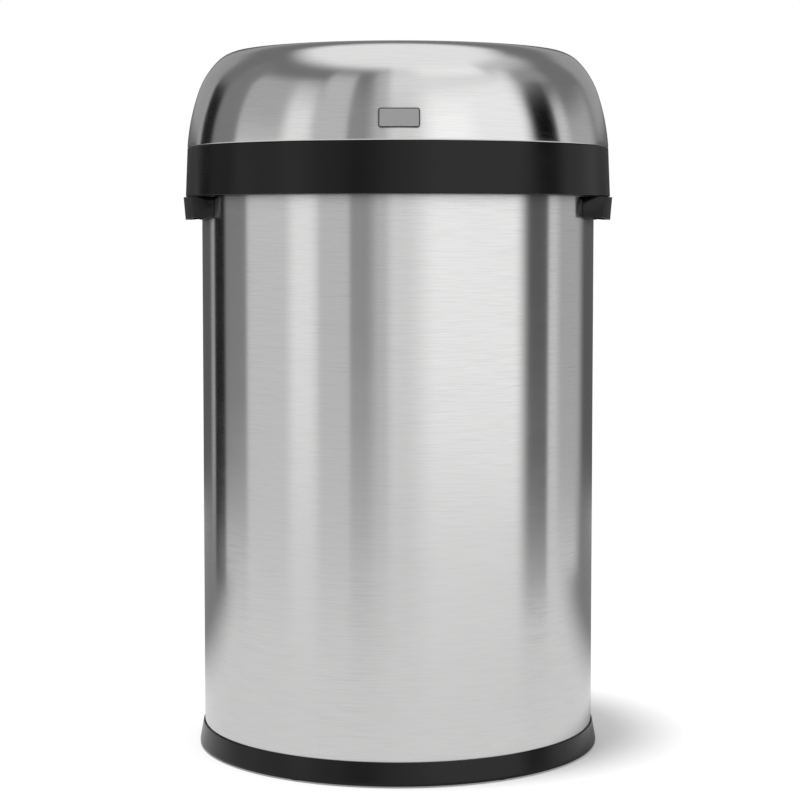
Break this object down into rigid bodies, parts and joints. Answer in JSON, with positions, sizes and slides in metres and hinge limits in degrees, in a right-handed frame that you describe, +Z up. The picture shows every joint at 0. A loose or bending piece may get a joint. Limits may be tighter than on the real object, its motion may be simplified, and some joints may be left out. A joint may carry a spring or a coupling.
{
  "type": "open-top waste can",
  "caption": "Round open-top waste can: brushed steel drum and rear-hinged dome lid with a round mouth, black band, base ring and side grips, and a lift-out bag ring.",
  "frame": {"origin": "middle of the footprint on the floor, on the drum's axis, in the plane of the feet", "axes": "+Z up along the drum's axis, -Y towards the front with the badge, +X to the right-hand grip, hinge at +Y"},
  "size_m": [0.4374, 0.4491, 0.7064],
  "materials": {
    "brushed_steel": "horizontal brush grain, clear",
    "galvanised_steel": "dull galvanised sheet",
    "black_plastic": "satin, fine texture",
    "ring_plastic": "matt, fine texture",
    "black_rubber": "matt",
    "black_metal": "black powder coat",
    "bright_steel": "bright steel",
    "screw_zinc": "zinc plated",
    "badge_metal": "satin, bevelled edge",
    "badge_black": "semi-gloss"
  },
  "bodies": {
    "can": {"body_shell": "brushed_steel", "base_ring": "black_plastic", "rubber_feet": "black_rubber", "floor_pan": "galvanised_steel", "base_screws": "screw_zinc", "collar": "black_plastic", "collar_screws": "screw_zinc", "handle_left": "black_plastic", "handle_right": "black_plastic", "handle_plate_left": "galvanised_steel", "handle_plate_right": "galvanised_steel", "handle_screws_left": "screw_zinc", "handle_screws_right": "screw_zinc", "hinge_bracket": "black_metal", "hinge_plate": "galvanised_steel", "hinge_bracket_screws": "screw_zinc", "hinge_pin": "bright_steel", "hinge_pin_clips": "bright_steel"},
    "lid": {"lid_band": "black_plastic", "lid_dome": "brushed_steel", "lid_dome_screws": "screw_zinc", "lid_pads": "black_rubber", "badge_frame": "badge_black", "badge_plate": "badge_metal", "badge_push_nuts": "bright_steel", "hinge_arm": "black_metal", "hinge_arm_screws": "screw_zinc"},
    "liner_ring": {"liner_ring": "ring_plastic"}
  },
  "joints": [
    {"name": "lid_hinge", "type": "hinge", "parent": "can", "child": "lid", "pos_m": [0, 0.223, 0.556], "axis": [-1, 0, 0], "range_deg": [0, 100]},
    {"name": "bag_ring_lift", "type": "slide", "parent": "can", "child": "liner_ring", "axis": [0, 0, 1], "range_m": [0, 0.05]}
  ]
}
